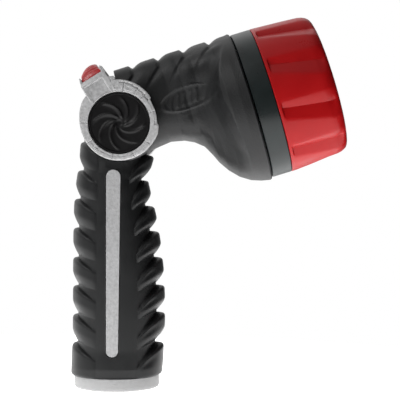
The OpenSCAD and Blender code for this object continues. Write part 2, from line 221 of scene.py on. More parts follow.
def dress(obj, material, slot, body, *nodes):
    """Gives a piece its material and its body, and hides the CAD nodes it stands for."""
    obj.data.materials.clear()
    obj.data.materials.append(material)
    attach(obj, body)
    if nodes:
        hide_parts(*nodes)
    return obj


# ---- materials ----------------------------------------------------------------------

SPREAD = 0.06                           # how far the roughness wanders either way
EDGE_HIGHLIGHT_SHARE = 0.75                       # how much of the painted edge highlight colour shows on the sharpest edges
HIGHLIGHT_FROM, HIGHLIGHT_TO = 0.512, 0.58        # how pointed an edge is where the painted edge highlight starts, and where it is full


def material(name, color, roughness, grain, depth, mottle=0.12, metal=0.0, specular=0.5, edge_highlight=None,
             blotch=9.0):
    """Procedural material: a fine grain in the bump, a slow mottle in colour and roughness,
    and an optional painted edge highlight, a lighter colour on raised edges. Grain and blotch are sizes
    in millimetres, depth is in micrometres and mottle is a share of the colour."""
    mat = bpy.data.materials.new(name)
    mat.use_nodes = True
    nodes, links = mat.node_tree.nodes, mat.node_tree.links
    shader = nodes["Principled BSDF"]
    shader.inputs["Metallic"].default_value = metal
    shader.inputs["Specular IOR Level"].default_value = specular
    place = nodes.new("ShaderNodeTexCoord")

    def noise(size, detail):
        """Noise of a size in millimetres, fixed to the object."""
        tex = nodes.new("ShaderNodeTexNoise")
        tex.inputs["Scale"].default_value = 1000.0 / size
        tex.inputs["Detail"].default_value = detail
        links.new(place.outputs["Object"], tex.inputs["Vector"])
        return tex.outputs["Fac"]

    def spread_to(source, low, high, start=0.3, stop=0.7):
        """Stretches a value from start..stop to low..high."""
        node = nodes.new("ShaderNodeMapRange")
        node.inputs["From Min"].default_value = start
        node.inputs["From Max"].default_value = stop
        node.inputs["To Min"].default_value = low
        node.inputs["To Max"].default_value = high
        links.new(source, node.inputs["Value"])
        return node.outputs["Result"]

    def mix(factor, a, b):
        """Blend of two colours, each a fixed colour or another node's output."""
        node = nodes.new("ShaderNodeMix")
        node.data_type = "RGBA"
        links.new(factor, node.inputs["Factor"])
        for socket, value in (("A", a), ("B", b)):
            target = [i for i in node.inputs if i.name == socket and i.type == "RGBA"][0]
            if isinstance(value, tuple):
                target.default_value = value
            else:
                links.new(value, target)
        return [o for o in node.outputs if o.type == "RGBA"][0]

    fine, slow = noise(grain, 3), noise(blotch, 4)
    dark = tuple(c * (1 - mottle) for c in color) + (1,)
    light = tuple(min(1, c * (1 + mottle)) for c in color) + (1,)
    tone = mix(spread_to(slow, 0, 1), dark, light)
    # painted highlight: the sharpest raised edges are lightened in colour, standing in for light caught
    # on them
    if edge_highlight:
        geometry = nodes.new("ShaderNodeNewGeometry")
        edge = spread_to(geometry.outputs["Pointiness"], 0, EDGE_HIGHLIGHT_SHARE, HIGHLIGHT_FROM, HIGHLIGHT_TO)
        tone = mix(edge, tone, edge_highlight + (1,))
    links.new(tone, shader.inputs["Base Color"])
    speck = nodes.new("ShaderNodeMath")
    speck.operation = "ADD"
    links.new(spread_to(slow, -SPREAD, SPREAD), speck.inputs[0])
    links.new(spread_to(fine, roughness - SPREAD / 2, roughness + SPREAD / 2), speck.inputs[1])
    links.new(speck.outputs[0], shader.inputs["Roughness"])
    relief = nodes.new("ShaderNodeBump")
    relief.inputs["Strength"].default_value = 1.0
    relief.inputs["Distance"].default_value = depth * 1e-6
    links.new(fine, relief.inputs["Height"])
    links.new(relief.outputs["Normal"], shader.inputs["Normal"])
    return mat


# The grip, neck and metal materials carry a painted edge highlight: their raised edges are painted
# lighter.
grip_rubber = material("grip_rubber", (0.010, 0.0105, 0.011), 0.42, 0.5, 14, blotch=7,
                       specular=0.4, edge_highlight=(0.05, 0.051, 0.053))
neck_rubber = material("neck_rubber", (0.009, 0.0094, 0.010), 0.47, 0.5, 110, mottle=0.35,
                       edge_highlight=(0.08, 0.081, 0.084))
cast_metal = material("cast_metal", (0.36, 0.36, 0.365), 0.5, 0.45, 110, mottle=0.14,
                      blotch=1.6, edge_highlight=(0.5, 0.5, 0.5))
lever_metal = material("lever_metal", (0.60, 0.60, 0.605), 0.5, 0.45, 150, mottle=0.2,
                       blotch=1.3, edge_highlight=(0.75, 0.75, 0.75))
inlay_metal = material("inlay_metal", (0.50, 0.50, 0.505), 0.48, 0.5, 130, mottle=0.14,
                       blotch=1.1)
brass = material("brass", (0.60, 0.44, 0.20), 0.32, 0.6, 10, metal=1.0)
plated_brass = material("plated_brass", (0.56, 0.53, 0.43), 0.38, 0.6, 10, metal=1.0)
steel = material("steel", (0.55, 0.55, 0.57), 0.3, 0.5, 8, metal=1.0)
seal = material("seal_rubber", (0.015, 0.015, 0.015), 0.6, 0.5, 12)
# The pad carries a painted highlight: the crests of its ridges are painted a light pinkish red.
pad_red = material("pad_red", (0.60, 0.012, 0.016), 0.27, 0.5, 10, mottle=0.08, specular=0.7,
                   edge_highlight=(0.66, 0.12, 0.12))
dial_red = material("dial_red", (0.57, 0.007, 0.009), 0.34, 0.6, 8, mottle=0.05, specular=0.29)
cap_black = material("cap_black", (0.009, 0.0085, 0.009), 0.36, 0.45, 16, specular=0.32)
collar_black = material("collar_black", (0.014, 0.021, 0.021), 0.34, 0.5, 9, blotch=12, mottle=0.3)
face_black = material("face_black", (0.019, 0.023, 0.023), 0.42, 0.5, 12)
chamber_white = material("chamber_white", (0.7, 0.7, 0.68), 0.5, 0.6, 10)

# ---- grip: rubber cover with rows of fins -----------------------------------------------

FINS = 8
GRIP_LOW, GRIP_TOP = 5.5, 104
# Heights of the fins' upper edges, from the top fin down, and of the cover's foot.
FRONT_SHELF = [95.9, 85.5, 75.0, 64.6, 53.9, 42.4, 31.2, 18.9, GRIP_LOW]
REAR_SHELF = [101.2, 89.7, 78.0, 66.1, 54.0, 42.3, 30.5, 18.9, GRIP_LOW]
# Reach to the front and to the back against height, between the fins and at their crests.
FRONT_VALLEY = [(5.5, 15.4), (17.8, 15.7), (29.2, 16.35), (40.3, 16.2), (51.9, 15.6), (63, 13.9),
                (74.3, 11.8), (85.5, 10), (95, 11.5), (104, 12)]
REAR_VALLEY = [(5.5, 16.3), (31.4, 15.8), (55.3, 15.65), (67.3, 15.5), (79.3, 14.9), (91.7, 13.4),
               (104, 13.4)]
FRONT_CREST = [(5.5, 18.6), (12, 19.15), (18, 19.4), (28, 19.85), (38, 19.8), (49, 19.3), (60, 18.05),
               (70, 16.4), (80, 14.05), (84, 13.1), (90, 13.9), (94, 15.1), (104, 15.2)]
REAR_CREST = [(5.5, 18.8), (16, 18.45), (22, 18.1), (50, 18.0), (63, 17.9), (75, 17.6), (84, 16.8),
              (92, 15.6), (104, 14.6)]
GRIP_HALF = [(5.5, 16.6), (9, 17), (16, 16.3), (88, 16.3), (93, 15.5), (104, 15)]   # half width
GRIP_SQUARE = 2.3                       # squareness of the section, 2 is an ellipse
FRONT_BAND, REAR_BAND = 0.58, 0.46      # where the side band ends, as shares of the reach
FRONT_CREASE, REAR_CREASE = 9.4, 6.2    # how far the fins' upper edges drop to the side band
FRONT_FALL, REAR_FALL = 2.4, 1.95       # how far their lower edges drop
EDGE_GAP = 0.12                         # half the height of the crease between two fins
FIN_REACH = 0.72                        # how fast a fin grows away from the side band
POCKET = 0.45                           # depth of the hollow on the front fins
# Rows of points down a fin, and up each gap between two fins and above the top one.
FIN_ROWS = (0.995, 0.97, 0.94, 0.9, 0.85, 0.8, 0.74, 0.68, 0.62, 0.56, 0.5, 0.42, 0.35, 0.28, 0.21,
            0.15, 0.11, 0.08, 0.055, 0.03, 0.01)
GAP_ROWS = (0.1, 0.35, 0.65, 0.9)
TOP_ROWS = (0.05, 0.2, 0.4, 0.6, 0.8, 0.97)
HUB_R = 15.2                            # rubber hub round the valve
COUNTERBORE_R, COUNTERBORE_FACE = 18.4, 15.6    # room for the lever's rings, and where it starts
INLAY_TOP, INLAY_LOW = (-0.3, 86.4), (-0.8, 16.6)
INLAY_TOP_R, INLAY_LOW_R = 2.85, 2.4
INLAY_GAP, INLAY_FLOOR = 0.34, 13.85


def fin_profile(v, last):
    """Height of a fin from its upper edge (0) to its lower edge (1)."""
    rise = np.interp(v, [0, 0.01, 0.03, 0.06, 0.1, 0.14], [0, 0.42, 0.74, 0.9, 0.98, 1])
    fall = 1 - np.clip((v - 0.47) / 0.47, 0, 1) ** 1.5
    if last:
        fall = np.where(v < 0.93, 1, 1 - 0.4 * (v - 0.93) / 0.07)
    return rise * fall


def grip_cover():
    """Rubber cover through rings of points from its foot to its top."""
    count = 224
    a = np.radians(np.arange(count) * 360 / count)
    c, s = power(np.cos(a), 2 / GRIP_SQUARE), power(np.sin(a), 2 / GRIP_SQUARE)
    front = c > 0
    # Share of the way from the side band to the front or the back, and from the back to the front.
    q = np.where(front, (c - FRONT_BAND) / (1 - FRONT_BAND), (-c - REAR_BAND) / (1 - REAR_BAND))
    q = np.clip(q, 0, 1)
    blend = ease((c + REAR_BAND) / (FRONT_BAND + REAR_BAND))
    flat = np.zeros(count)

    def level(i, crease):
        """Height of a fin's upper edge, or of the edge that ends the fin above it."""
        if i == FINS:
            return flat + GRIP_LOW
        front_drop, rear_drop = (FRONT_CREASE, REAR_CREASE) if crease else (FRONT_FALL, REAR_FALL)
        notch = -EDGE_GAP if crease else EDGE_GAP
        f = FRONT_SHELF[i] - front_drop * (1 - np.where(front, q, 0)) + notch
        r = REAR_SHELF[i] - rear_drop * (1 - np.where(front, 0, q)) + notch
        return r + (f - r) * blend

    def ring(z, height):
        """Ring of points at heights z, raised off the cover's plain surface."""
        reach = np.where(front, curve(FRONT_VALLEY, z), curve(REAR_VALLEY, z))
        half = curve(GRIP_HALF, z)
        x, y = reach * c, half * s
        nx, ny = power(c, GRIP_SQUARE - 1) / reach, power(s, GRIP_SQUARE - 1) / half
        size = np.hypot(nx, ny)
        return np.stack([x + height * nx / size, y + height * ny / size, z], 1)

    def fin_size(z):
        """Full height of a fin at the heights z."""
        over = np.where(front, curve(FRONT_CREST, z) - curve(FRONT_VALLEY, z),
                        curve(REAR_CREST, z) - curve(REAR_VALLEY, z))
        return over * q ** FIN_REACH

    foot = level(FINS, True)
    rows = [ring(foot, fin_size(foot) * 0.6 - 0.5)]
    for i in reversed(range(FINS)):
        last = i == FINS - 1
        top, low = level(i, True), level(i + 1, last)
        for v in FIN_ROWS:
            z = top + (low - top) * v
            pocket = POCKET * bump(v, 0.27, 0.2) * bump(q, 0.52, 0.24) * front
            rows.append(ring(z, fin_size(z) * fin_profile(flat + v, last) - pocket))
        above = level(i, False) if i else flat + GRIP_TOP
        for w in GAP_ROWS if i else TOP_ROWS:
            rows.append(ring(top + (above - top) * w, flat))
    rows.append(ring(flat + GRIP_TOP, flat - 0.8))
    return grid("grip_cover_skin", rows)


grip = grip_cover()
cut(grip, prism("saddle", around(HUB_R + 0.1, 180), pivot, -40, 40))
inlay_slot = slot_outline(INLAY_TOP, INLAY_LOW, INLAY_TOP_R + INLAY_GAP, INLAY_LOW_R + INLAY_GAP)
for side in (-1, 1):
    cut(grip, prism("counterbore", around(COUNTERBORE_R, 120), pivot, side * COUNTERBORE_FACE, side * 40),
        prism("slot", inlay_slot, upright, side * INLAY_FLOOR, side * 30))
smooth(grip, 30)
dress(grip, grip_rubber, "grip_rubber", "body", "grip_cover")

# ---- neck and bell -------------------------------------------------------------------------

# Top, bottom, half width and squareness of the neck's section, along the head's axis.
NECK_TOP = [(-49.2, 30.4), (-2, 31), (-0.5, 31.25), (0, 30.9)]
NECK_BOTTOM = [(-49.2, 5.4), (-42.9, 5), (-40, 4.6), (-35.3, 4.1), (-29.8, 5.3), (-26, 7.2),
               (-22.5, 10.2), (-20.3, 14.4), (-18.6, 18.3), (-15.9, 22.5), (-12.3, 26.4),
               (-8.2, 29.1), (-4.2, 30.5), (-0.6, 31.25), (0, 30.9)]
NECK_HALF = [(-49.2, 14.6), (-30, 15.2), (-24, 16.8), (-18, 20.5), (-13, 25.5), (-8.5, 29.6),
             (-4, 30.9), (-0.6, 31.4), (0, 31.0)]
NECK_SQUARE = [(-49.2, 3.2), (-26, 3), (-16, 2.3), (-8.2, 2), (0, 2)]
RIB_NOTCHES = (-8.9, -19.8, -30.7, -41.6)
# Depth of a rib's crease, against the distance ahead of its notch.
RIB_SHAPE = [(-1.7, 0), (-1.3, 0.1), (-0.35, 1.3), (0.1, 1.55), (0.7, 1.35), (1.6, 0.86), (2.7, 0.4),
             (3.9, 0.1), (5.2, 0)]
# The crease between the side cove and the bell's outer band, against the angle from the top.
COVE_CREASE = [(0, -1), (34, -3.4), (46, -6.2), (61, -9), (71, -10), (81, -10.2), (103, -8.7),
               (114, -7.8), (133, -7), (180, -7)]
# Share of the cove's depth, against the distance behind that crease.
COVE_SHAPE = [(0, 0), (0.5, 0.14), (1, 0.3), (2, 0.58), (3, 0.8), (4.5, 0.97), (5.5, 1), (7.5, 0.93),
              (10, 0.74), (12.5, 0.5), (15.5, 0.24), (18, 0.08), (20, 0)]
COVE_DEPTH = 4.9
BADGE_S, BADGE_UP, BADGE_TILT = -22.6, 9.9, 0.07        # middle of the oval badge, tilt in radians
BADGE_HALF_LONG, BADGE_HALF_HIGH = 12.9, 5.0
HUB_FACE, HUB_STEP = 15.6, 14.2         # half widths of the hub's raised middle and of its rim
RECESS_R, FLANGE_R = 28.5, 28.4         # open front of the bell, and the flange of the casting in it
VALVE_BORE_R, PLUG_R = 13.3, 11


def ribs(s, drop):
    """Depth of the creases between the top's ribs, at a distance round from the top. The creases lean
    back as they fade down the sides."""
    lean = np.clip(drop - 15, 0, None)
    fade = 1 - 0.6 * ease((drop - 7) / 5) - 0.4 * ease((drop - 15.5) / 9.5)
    depth = sum(curve(RIB_SHAPE, s + lean - notch) for notch in RIB_NOTCHES) * fade
    return depth * ease((s + 48.5) / 2)


def cove(s, angle):
    """Depth of the cove on each side, behind the bell's band."""
    behind = curve(COVE_CREASE, angle) - s
    side = ease((angle - 32) / 28) * (1 - ease((angle - 126) / 34))
    return COVE_DEPTH * np.where(behind > 0, curve(COVE_SHAPE, behind), 0) * side


def badge(s, up, y, angle):
    """Height of the plain oval badge on each side: a raised rim with slanted bars inside."""
    ahead, over = s - BADGE_S, up - BADGE_UP
    long = (ahead * math.cos(BADGE_TILT) + over * math.sin(BADGE_TILT)) / BADGE_HALF_LONG
    high = (over * math.cos(BADGE_TILT) - ahead * math.sin(BADGE_TILT)) / BADGE_HALF_HIGH
    oval = np.sqrt(long ** 2 + high ** 2)
    height = 0.38 * ease((1 - oval) / 0.07) - 0.2 * ease((0.86 - oval) / 0.07)
    stripe = np.abs((ahead - 0.35 * over) % 2.6 - 1.3)
    inside = ease((0.55 - np.abs(high)) / 0.1) * ease((0.74 - np.abs(long)) / 0.05)
    height += 0.2 * inside * ease((stripe - 0.5) / 0.25)
    return height * (np.abs(y) > 10) * (angle < 100)


def neck_section(s, count):
    """Points evenly spaced round the neck at one station, and their distances round from the top."""
    fine = 1440
    t = np.arange(fine) * 2 * np.pi / fine
    top, low = curve(NECK_TOP, s), curve(NECK_BOTTOM, s)
    half, square = curve(NECK_HALF, s), curve(NECK_SQUARE, s)
    middle = (top - low) / 2
    up = (top - middle) * power(np.cos(t), 2 / square) + middle
    y = half * power(np.sin(t), 2 / square)
    step = np.hypot(np.diff(up, append=up[0]), np.diff(y, append=y[0]))
    along = np.concatenate([[0], np.cumsum(step)])
    want = np.arange(count) * along[-1] / count
    drop = np.minimum(want, along[-1] - want)
    return np.interp(want, along, np.append(up, up[0])), np.interp(want, along, np.append(y, y[0])), drop


def neck_cover():
    """Rubber cover of the neck and the bell, through sections along the head's axis."""
    count = 224
    rows = []
    for s in np.concatenate([np.linspace(-49.2, -0.6, 150), [-0.35, -0.12, 0.0]]):
        up, y, drop = neck_section(s, count)
        # Outward normal of the section, from each point's neighbours.
        rise, run = np.roll(up, -1) - np.roll(up, 1), np.roll(y, -1) - np.roll(y, 1)
        size = np.hypot(rise, run)
        angle = np.degrees(np.arctan2(np.abs(y), up))
        shift = badge(s, up, y, angle) - cove(s, angle) - ribs(s, drop)
        rows.append(head(np.full(count, s), up + run / size * shift, y - rise / size * shift))
    return grid("neck_cover_skin", rows)


def hub(radius, half, edge):
    """Disc round the pivot, its rims rounded by an edge."""
    a, b = around(radius, 120).T
    rows = []
    for y, k in ((-half, 1), (-half + 0.15, 0.4), (-half + 0.5, 0), (half - 0.5, 0), (half - 0.15, 0.4),
                 (half, 1)):
        f = 1 - k * edge / np.hypot(a, b)
        rows.append(pivot(a * f, b * f, y))
    return grid("hub", rows)


neck = neck_cover()
join(neck, hub(HUB_R - 0.2, HUB_FACE, 0.8), hub(HUB_R, HUB_STEP, 0.6))
cut(neck, prism("recess", around(RECESS_R, 120), across, -2.1, 3),
    prism("core_flange", around(FLANGE_R, 120), across, -7.1, -2.0),
    prism("bore", around(VALVE_BORE_R, 96), pivot, -15.5, 15.5),
    prism("plug", around(PLUG_R, 96), pivot, -20, 20))
smooth(neck, 28)
dress(neck, neck_rubber, "neck_rubber", "body", "neck_cover")

# ---- thumb lever -----------------------------------------------------------------------------

WEB_IN, RING_IN = 6.2, 12.4             # hole for the hub screw, and the inside of the side ring
RING_BACK, WEB_FACE, RING_FACE = 16.0, 17.6, 20.8     # distances from the middle plane
# Outer edge of the side ring against the angle from +X, with its steps.
RING_EDGE = [(0, 14.95), (12, 15.0), (30, 15.1), (36, 15.35), (38.5, 15.5), (39.5, 16.1), (48, 16.4),
             (60, 16.75), (72, 17.0), (90, 17.25), (110, 17.2), (150, 16.9), (162, 16.4),
             (168, 16.15), (180, 15.7), (192, 15.4), (216, 15.15), (252, 15.0), (270, 14.8),
             (300, 14.85), (312, 15.1), (324, 15.15), (336, 15.5), (345, 15.75), (356.5, 15.6),
             (358, 15.5), (359, 14.95), (360, 14.95)]
RING_ROWS = (0, 0.06, 0.12, 0.19, 0.26, 0.33, 0.4, 0.48, 0.56, 0.64, 0.72, 0.8, 0.87, 0.93, 1)
RING_LINES = (18.4, 47.8, 62, 82.6, 180, 212.8, 229.5, 259.6, 295, 326)     # angles of division lines
LIP_GROOVE = [(38, 14.6), (50, 15.0), (60, 15.5), (72, 16.0), (92, 16.3)]
PLATES = (73.6, 92.0)                   # angles of the two plain raised plates on the ring
PLATE_R, PLATE_HALF_LONG, PLATE_HALF_HIGH = 14.25, 2.05, 0.95


def ring_height(deg, r):
    """Height of the ring's face: division lines, shallow steps, a lip at the top and two plates."""
    y = np.full(np.broadcast(deg, r).shape, RING_FACE)
    for line in RING_LINES:
        y -= 0.4 * bump(np.radians(deg - line) * 14, 0, 0.17)
    inner, outer = 1 - ease((r - 13.4) / 0.3), ease((r - 14.1) / 0.3)
    y -= 0.22 * ease((deg - 213) / 1.2) * (1 - ease((deg - 325) / 1.2)) * inner
    y -= 0.22 * ease((deg - 4) / 1.2) * (1 - ease((deg - 47) / 1.2)) * outer
    along_lip = ease((deg - 37) / 2) * (1 - ease((deg - 88) / 3))
    y -= 0.75 * along_lip * bump(r, curve(LIP_GROOVE, deg), 0.26)
    y -= 0.35 * (ease(deg - 356) + 1 - ease((deg - 3) / 2)) * ease((r - 13.9) / 0.4)
    for middle in PLATES:
        a = np.abs(np.radians(deg - middle) * 14.2) / PLATE_HALF_LONG
        b = np.abs(r - PLATE_R) / PLATE_HALF_HIGH
        box = (a ** 6 + b ** 6) ** (1 / 6)
        y += 0.2 * ease((1 - box) / 0.12) - 0.16 * ease((0.74 - box) / 0.1)
    return y


def lever_ring():
    """Side ring with its web, as a section carried round the pivot."""
    count = 1080
    deg = np.arange(count) * 360 / count
    rad = np.radians(deg)
    outer = curve(RING_EDGE, deg)
    face_out, face_in = outer - 0.42, RING_IN + 0.25
    section = [(WEB_IN, WEB_FACE), (WEB_IN, RING_BACK), (outer - 0.3, RING_BACK),
               (outer, RING_BACK + 0.3), (outer, RING_FACE - 0.42),
               (outer - 0.13, ring_height(deg, outer - 0.13) - 0.13)]
    for share in RING_ROWS:
        r = face_out - share * (face_out - face_in)
        section.append((r, ring_height(deg, r)))
    section += [(RING_IN + 0.07, ring_height(deg, RING_IN) - 0.08), (RING_IN, RING_FACE - 0.5),
                (RING_IN, WEB_FACE)]
    rings = [pivot(r * np.cos(rad), r * np.sin(rad), y) for r, y in section]
    return grid("lever_ring", rings, wrap=True)


def arm_panel():
    """Cutter for the recessed panel on the arm's outer face, with sloping walls."""
    rear, ahead, top, foot_r = -4.0, 3.6, 18.7, 12.9
    foot = [(f, math.sqrt(foot_r ** 2 - f * f)) for f in np.linspace(ahead, rear, 13)]
    a, b = np.array([(rear, top), (ahead, top)] + foot).T
    mid_a, mid_b = -0.2, 16
    rows = []
    for y, k in ((RING_FACE - 0.3, 1), (RING_FACE + 0.12, 1.14), (RING_FACE + 1, 1.14)):
        rear_slope = np.where(a < -3.9, 2.5 * (k - 1), 0)
        rows.append(lever(mid_a + (a - mid_a) * k - rear_slope, mid_b + (b - mid_b) * k, y))
    return grid("panel", rows)


def lever_side():
    """One side of the lever: its ring, and the arm that carries the bridge."""
    arm = prism("arm", [(-5.4, 13), (-5.4, 19.9), (-4.9, 21.1), (5, 21.1), (5.9, 20.3), (6.0, 14.5)],
                lever, RING_BACK, RING_FACE + 0.12)
    part = join(lever_ring(), rounded(arm, 0.3))
    return cut(part, arm_panel(), prism("hole", around(RING_IN, 180), pivot, WEB_FACE, 30))


def crossbar(name, outline, half, edge):
    """Bar across the lever, with rounded edges."""
    return rounded(prism(name, outline, lever, -half, half), edge)


def ear(y0, y1):
    """Filler between an arm and the shield, on one side."""
    outline = [(5.0, 17.8), (6.2, 17.9), (8.1, 17.0), (7.9, 15.6), (5.0, 15.6)]
    return rounded(prism("ear", outline, lever, y0, y1), 0.2)


left = lever_side()
right = mirrored(left, "lever_right")
bridge = prism("bridge", [(-5.4, 19.6), (-4.9, 21.1), (5, 21.1), (5.4, 19.6)], lever, -17, 17)
rear_lip = crossbar("rear_lip", [(-5.2, 20.3), (-4.35, 23.2), (-3.9, 23.2), (-3.85, 20.3)], 20.4, 0.18)
front_lip = crossbar("front_lip", [(6.15, 19.6), (6.1, 22.7), (5.6, 23.4), (5.05, 23.4), (4.7, 20.2)],
                     20.7, 0.22)
shield = crossbar("shield", [(4.4, 19.6), (4.8, 20.9), (5.9, 20.2), (6.3, 17.7), (7.4, 17.2), (7.3, 16.5),
                             (5.6, 16.7)], 19.6, 0.2)
thumb = join(left, right, bridge, rear_lip, front_lip, shield, ear(16.2, 20.65), ear(-20.65, -16.2))
thumb.name = "thumb_lever_casting"
smooth(thumb, 32)
dress(thumb, lever_metal, "lever_metal", "lever", "thumb_lever")

# ---- thumb pad -------------------------------------------------------------------------------

PAD_HALF, PAD_REAR, PAD_AHEAD, PAD_FOOT = 19.8, -3.85, 4.65, 21.12
PAD_GROOVES = (2.6, 7.6, 11.8, 15.0, 17.4)      # sideways positions of the grooves, on each side
PAD_GROOVE_DEPTH = [(0, 1.5), (12, 1.4), (16, 1.1), (19.8, 0.5)]
PAD_COLUMNS = (0, 0.015, 0.05, 0.12, 0.22, 0.34, 0.46, 0.58, 0.7, 0.8, 0.9, 0.96, 0.985, 1)


def thumb_pad():
    """Domed pad between the lips, with round ridges between grooves that run fore and aft."""
    grooves, shares = np.array(PAD_GROOVES), np.array(PAD_COLUMNS)
    fore = PAD_REAR + (PAD_AHEAD - PAD_REAR) * shares
    edge = np.minimum(shares, 1 - shares)
    rows = []
    for y in np.unique(np.concatenate([np.linspace(-PAD_HALF, PAD_HALF, 265), grooves, -grooves])):
        rise = 1.4 + 5.5 * max(0, 1 - (y / PAD_HALF) ** 2) ** 0.75
        crown = 1 - ((fore - 1.3) / 8) ** 2
        tops = PAD_FOOT + rise * crown * (0.72 + 0.28 * ease(edge / 0.05))
        # Whole turns are grooves, and half turns are the tops of ridges.
        turn = np.interp(abs(y), (0,) + PAD_GROOVES + (PAD_HALF,), (0.5, 1, 2, 3, 4, 5, 5.6))
        groove = curve(PAD_GROOVE_DEPTH, abs(y)) * (1 - abs(math.sin(math.pi * turn)))
        tops -= groove * ease(edge / 0.08)
        end = 0.9 * (1 - ease((PAD_HALF - abs(y)) / 1.2)) * ease(edge / 0.02)
        ring_fore = np.concatenate([fore, [PAD_AHEAD, PAD_REAR]])
        ring_out = np.concatenate([np.maximum(tops - end, PAD_FOOT + 0.05), [PAD_FOOT, PAD_FOOT]])
        rows.append(lever(ring_fore, ring_out, y))
    return grid("thumb_pad_rubber", rows)


pad = smooth(thumb_pad(), 40)
dress(pad, pad_red, "red_pad", "lever", "thumb_pad")

# ---- hub caps --------------------------------------------------------------------------------

CAP_R, CAP_BACK, CAP_FACE, BLADES = 12.1, 17.72, 19.9, 8
BLADE_TWIST, BLADE_TURN = 76, 14        # degrees a blade bends on its way out, and where the first starts
CAP_ROWS = (12.05, 11.95, 11.85, 11.75, 11.6, 11.4, 11.2, 11.0, 10.7, 10.3, 9.9, 9.4, 8.9, 8.3, 7.7, 7.1,
            6.5, 5.9, 5.3, 4.7, 4.1, 3.6, 3.1, 2.7, 2.3, 2.0, 1.7, 1.4, 1.1, 0.8, 0.5, 0.25)


def cap_height(deg, r):
    """Gently dished face with thin curved ridges and a small dimple in the middle."""
    pitch = 360 / BLADES
    twist = BLADE_TWIST * np.clip((r - 2.3) / 8.6, 0, 1) ** 0.8
    turn = (deg - twist - BLADE_TURN + pitch / 2) % pitch - pitch / 2
    sideways = np.radians(turn) * np.maximum(r, 1.0)
    ridge = np.where(sideways < 0, bump(sideways, 0, 0.34), bump(sideways, 0, 1.1))
    reach = ease((r - 1.9) / 0.8) * (1 - ease((r - 9.2) / 2.0))
    y = CAP_FACE + 0.5 * ridge * reach - 0.35 * (1 - ease(r / 10))
    y += 0.3 * ease((r - 11.2) / 0.25) * (1 - ease((r - 11.7) / 0.3))
    return y - 0.35 * (1 - ease((r - 0.6) / 1.2))


def hub_cap(name):
    """Round cap with a hollow back, as a section carried round the pivot."""
    count = 720
    deg = np.arange(count) * 360 / count
    rad = np.radians(deg)
    section = [(0.25, 18.9), (5.6, 18.9), (5.6, CAP_BACK), (CAP_R - 0.25, CAP_BACK), (CAP_R, 17.95),
               (CAP_R, CAP_FACE)]
    section += [(r, cap_height(deg, r)) for r in CAP_ROWS]
    return grid(name, [pivot(r * np.cos(rad), r * np.sin(rad), y) for r, y in section])


cap_far = smooth(hub_cap("hub_cap_far"), 38)
cap_near = smooth(mirrored(cap_far, "hub_cap_near"), 38)
dress(cap_far, cap_black, "cap_plastic", "lever", "hub_cap_left")
dress(cap_near, cap_black, "cap_plastic", "lever", "hub_cap_right")

# ---- pattern dial -----------------------------------------------------------------------------

FLUTES, FLUTE_EDGE = 10, 25.5           # angle of the first flute's upper edge from the top
FLUTE_START, FLUTE_END = 10.0, 29.6     # stations where the flutes start and reach their full width
DIAL_REAR, DIAL_FRONT, DIAL_IN = 8.86, 33.35, 27.1
FRONT_LIP = 26.05                       # smallest radius of the front edge
# Radius of the lands between the flutes, against the station.
DIAL_LAND = [(8.86, 30.2), (8.95, 30.36), (9.15, 30.48), (28.5, 29.45), (30.2, 29.1), (31.4, 28.6),
             (32.3, 28.0), (32.9, 27.35), (33.2, 26.7), (33.35, 26.1)]
DIAL_STATIONS = np.concatenate([
    [DIAL_REAR, 8.95, 9.15, 9.5, 9.9, 10.0, 10.1, 10.3, 10.55, 10.8, 11.1, 11.5, 12],
    np.linspace(12.8, 28.4, 20),
    [29.0, 29.6, 30.2, 30.8, 31.3, 31.8, 32.2, 32.5, 32.8, 33.0, 33.2, DIAL_FRONT]])
FRONT_EDGE = [(25.9, 33.37), (25.65, 33.2), (25.6, 30.2), (DIAL_IN, 30.2)]      # radius and station
# The collar's outside, then the sleeve inside the red grip, as (radius, station) pairs.
COLLAR_OUTSIDE = [(4.56, 0.6), (27.0, 0.6), (27.0, 0.38), (29.8, 0.38), (30.15, 0.5), (30.35, 0.78),
                  (30.4, 1.3), (30.4, 8.4), (30.25, 8.65), (29.9, 8.78), (27.0, 8.8)]
SLEEVE = [(27.0, 30.08), (24.8, 30.08), (24.8, 3.6), (9.0, 3.6), (9.0, 7.8), (4.56, 7.8)]
PORT_R, PORT_CIRCLE = 3.2, 15.5


def dial_section(s):
    """Angles and radii round the dial at one station, with points on every crease. Each flute is a
    wall that faces down, then a floor that rises to the land."""
    pitch = 360 / FLUTES
    run = np.clip((s - FLUTE_START) / (FLUTE_END - FLUTE_START), 0, 1)
    wall, floor = 4.6 + 6.4 * run, 7.6 + 5.4 * run
    land = pitch - wall - floor
    share = np.arange(8) / 8
    turn = np.concatenate([wall * share, wall + floor * share, wall + floor + land * share])
    shape = np.concatenate([share ** 1.2, 1 - share ** 1.15, np.zeros(8)])
    deep = (1.25 + 0.6 * run) * ease((s - FLUTE_START) / 0.6) * (1 - 0.55 * ease((s - 30.2) / 3))
    deg = np.concatenate([FLUTE_EDGE + pitch * k + turn for k in range(FLUTES)])
    return np.radians(deg), np.maximum(curve(DIAL_LAND, s) - deep * np.tile(shape, FLUTES), FRONT_LIP)


def dial_cover():
    """Red grip: its fluted outside, its front edge and its plain bore."""
    def plain(s, radius, like):
        """Circle at one station, with its points at another station's angles."""
        rad, _ = dial_section(like)
        return head(s, radius * np.cos(rad), -radius * np.sin(rad))

    rows = []
    for s in DIAL_STATIONS:
        rad, radius = dial_section(s)
        rows.append(head(s, radius * np.cos(rad), -radius * np.sin(rad)))
    rows += [plain(s, radius, DIAL_FRONT) for radius, s in FRONT_EDGE]
    rows.append(plain(DIAL_REAR, DIAL_IN, DIAL_REAR))
    return grid("dial_cover", rows, wrap=True)


def turned(name, section, place, count):
    """Solid of revolution through (radius, station) pairs, on the axis of a placing function."""
    rad = np.radians(np.arange(count) * 360 / count)
    return grid(name, [place(r * np.cos(rad), -r * np.sin(rad), s) for r, s in section], wrap=True)


